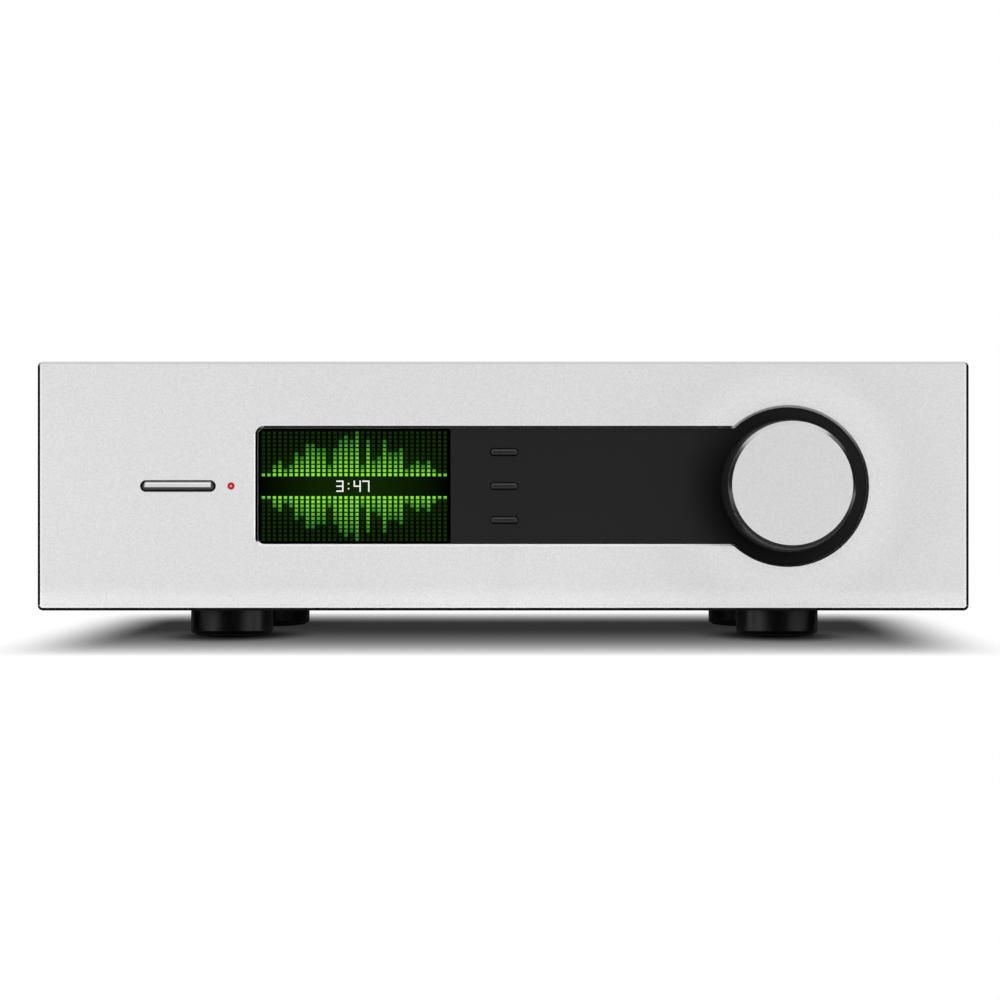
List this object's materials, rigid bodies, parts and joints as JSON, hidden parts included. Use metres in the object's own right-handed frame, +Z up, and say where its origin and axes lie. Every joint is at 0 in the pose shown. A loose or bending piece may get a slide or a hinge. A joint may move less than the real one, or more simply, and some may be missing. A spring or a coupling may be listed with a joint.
{
  "type": "network music streamer",
  "caption": "Full-width hi-fi network streamer with a thick silver front panel, keyhole window with display and menu buttons, large rotary knob, power bar and rear sockets on round feet.",
  "frame": {"origin": "on the shelf under the middle of the whole unit, knob and rear sockets included", "axes": "+X to the right seen from the front, +Y from the front panel to the rear panel, +Z up"},
  "size_m": [0.43, 0.387, 0.1286],
  "materials": {
    "panel_silver": "bead-blasted, clear anodised",
    "knob_silver": "fine blasted, bevel cut bright",
    "knob_black": "black anodised, satin",
    "insert_black": "satin moulded",
    "lens_clear": "polished, smoked",
    "display_panel": "lit panel",
    "button_black": "polished",
    "standby_red": "translucent, lit",
    "foot_black": "satin moulded",
    "pad_rubber": "matte",
    "cover_grey": "fine textured silver-grey paint",
    "chassis_black": "fine textured black paint",
    "screw_steel": "black zinc",
    "bright_steel": "zinc plated",
    "spacer_brass": "plated",
    "board_green": "solder mask",
    "component_black": "moulded",
    "module_grey": "tinned shield can",
    "capacitor_blue": "shrink sleeve",
    "sink_black": "black anodised",
    "winding_amber": "wound film tape",
    "ribbon_grey": "flat cable"
  },
  "bodies": {
    "case": {"front_panel": "panel_silver", "fascia_insert": "insert_black", "display_lens": "lens_clear", "display_module": "display_panel", "standby_lens": "standby_red", "standby_led": "standby_red", "foot_front_left": "foot_black", "foot_front_right": "foot_black", "foot_rear_left": "foot_black", "foot_rear_right": "foot_black", "foot_pads": "pad_rubber", "transformer_pads": "pad_rubber", "top_cover": "cover_grey", "chassis_base": "chassis_black", "rear_panel": "chassis_black", "cover_screws": "screw_steel", "rear_panel_screws": "screw_steel", "front_panel_screws": "screw_steel", "insert_screws": "screw_steel", "board_screws": "screw_steel", "foot_screws": "screw_steel", "encoder_nut": "bright_steel", "transformer_clamp": "bright_steel", "transformer_bolt": "bright_steel", "ethernet_jack": "bright_steel", "usb_jack": "bright_steel", "balanced_outputs": "bright_steel", "board_spacers": "spacer_brass", "phono_outputs": "spacer_brass", "antenna_sockets": "spacer_brass", "control_board": "board_green", "standby_board": "board_green", "mainboard": "board_green", "supply_board": "board_green", "button_switches": "component_black", "encoder_body": "component_black", "mainboard_components": "component_black", "regulators": "component_black", "mains_inlet": "component_black", "mains_switch": "component_black", "trigger_jack": "component_black", "streaming_module": "module_grey", "smoothing_capacitors": "capacitor_blue", "heat_sink": "sink_black", "transformer": "winding_amber", "display_ribbon": "ribbon_grey", "supply_ribbon": "ribbon_grey"},
    "knob": {"knob_cap": "knob_silver", "knob_body": "knob_black", "knob_set_screw": "screw_steel", "encoder_shaft": "bright_steel"},
    "power_key": {"power_button": "panel_silver", "power_plunger": "component_black"},
    "upper_key": {"upper_button": "button_black", "upper_plunger": "component_black"},
    "middle_key": {"middle_button": "button_black", "middle_plunger": "component_black"},
    "lower_key": {"lower_button": "button_black", "lower_plunger": "component_black"},
    "rocker": {"power_rocker": "component_black"}
  },
  "joints": [
    {"name": "knob_turn", "type": "hinge", "parent": "case", "child": "knob", "pos_m": [0.1315, -0.1775, 0.0711], "axis": [0, 1, 0], "continuous": true},
    {"name": "power_press", "type": "slide", "parent": "case", "child": "power_key", "axis": [0, 1, 0], "range_m": [0, 0.0008], "stiffness_N_per_m": 900},
    {"name": "upper_press", "type": "slide", "parent": "case", "child": "upper_key", "axis": [0, 1, 0], "range_m": [0, 0.0006], "stiffness_N_per_m": 900},
    {"name": "middle_press", "type": "slide", "parent": "case", "child": "middle_key", "axis": [0, 1, 0], "range_m": [0, 0.0006], "stiffness_N_per_m": 900},
    {"name": "lower_press", "type": "slide", "parent": "case", "child": "lower_key", "axis": [0, 1, 0], "range_m": [0, 0.0006], "stiffness_N_per_m": 900},
    {"name": "rocker_tilt", "type": "hinge", "parent": "case", "child": "rocker", "pos_m": [-0.1313, 0.18, 0.0531], "axis": [1, 0, 0], "range_deg": [-18, 0]}
  ]
}
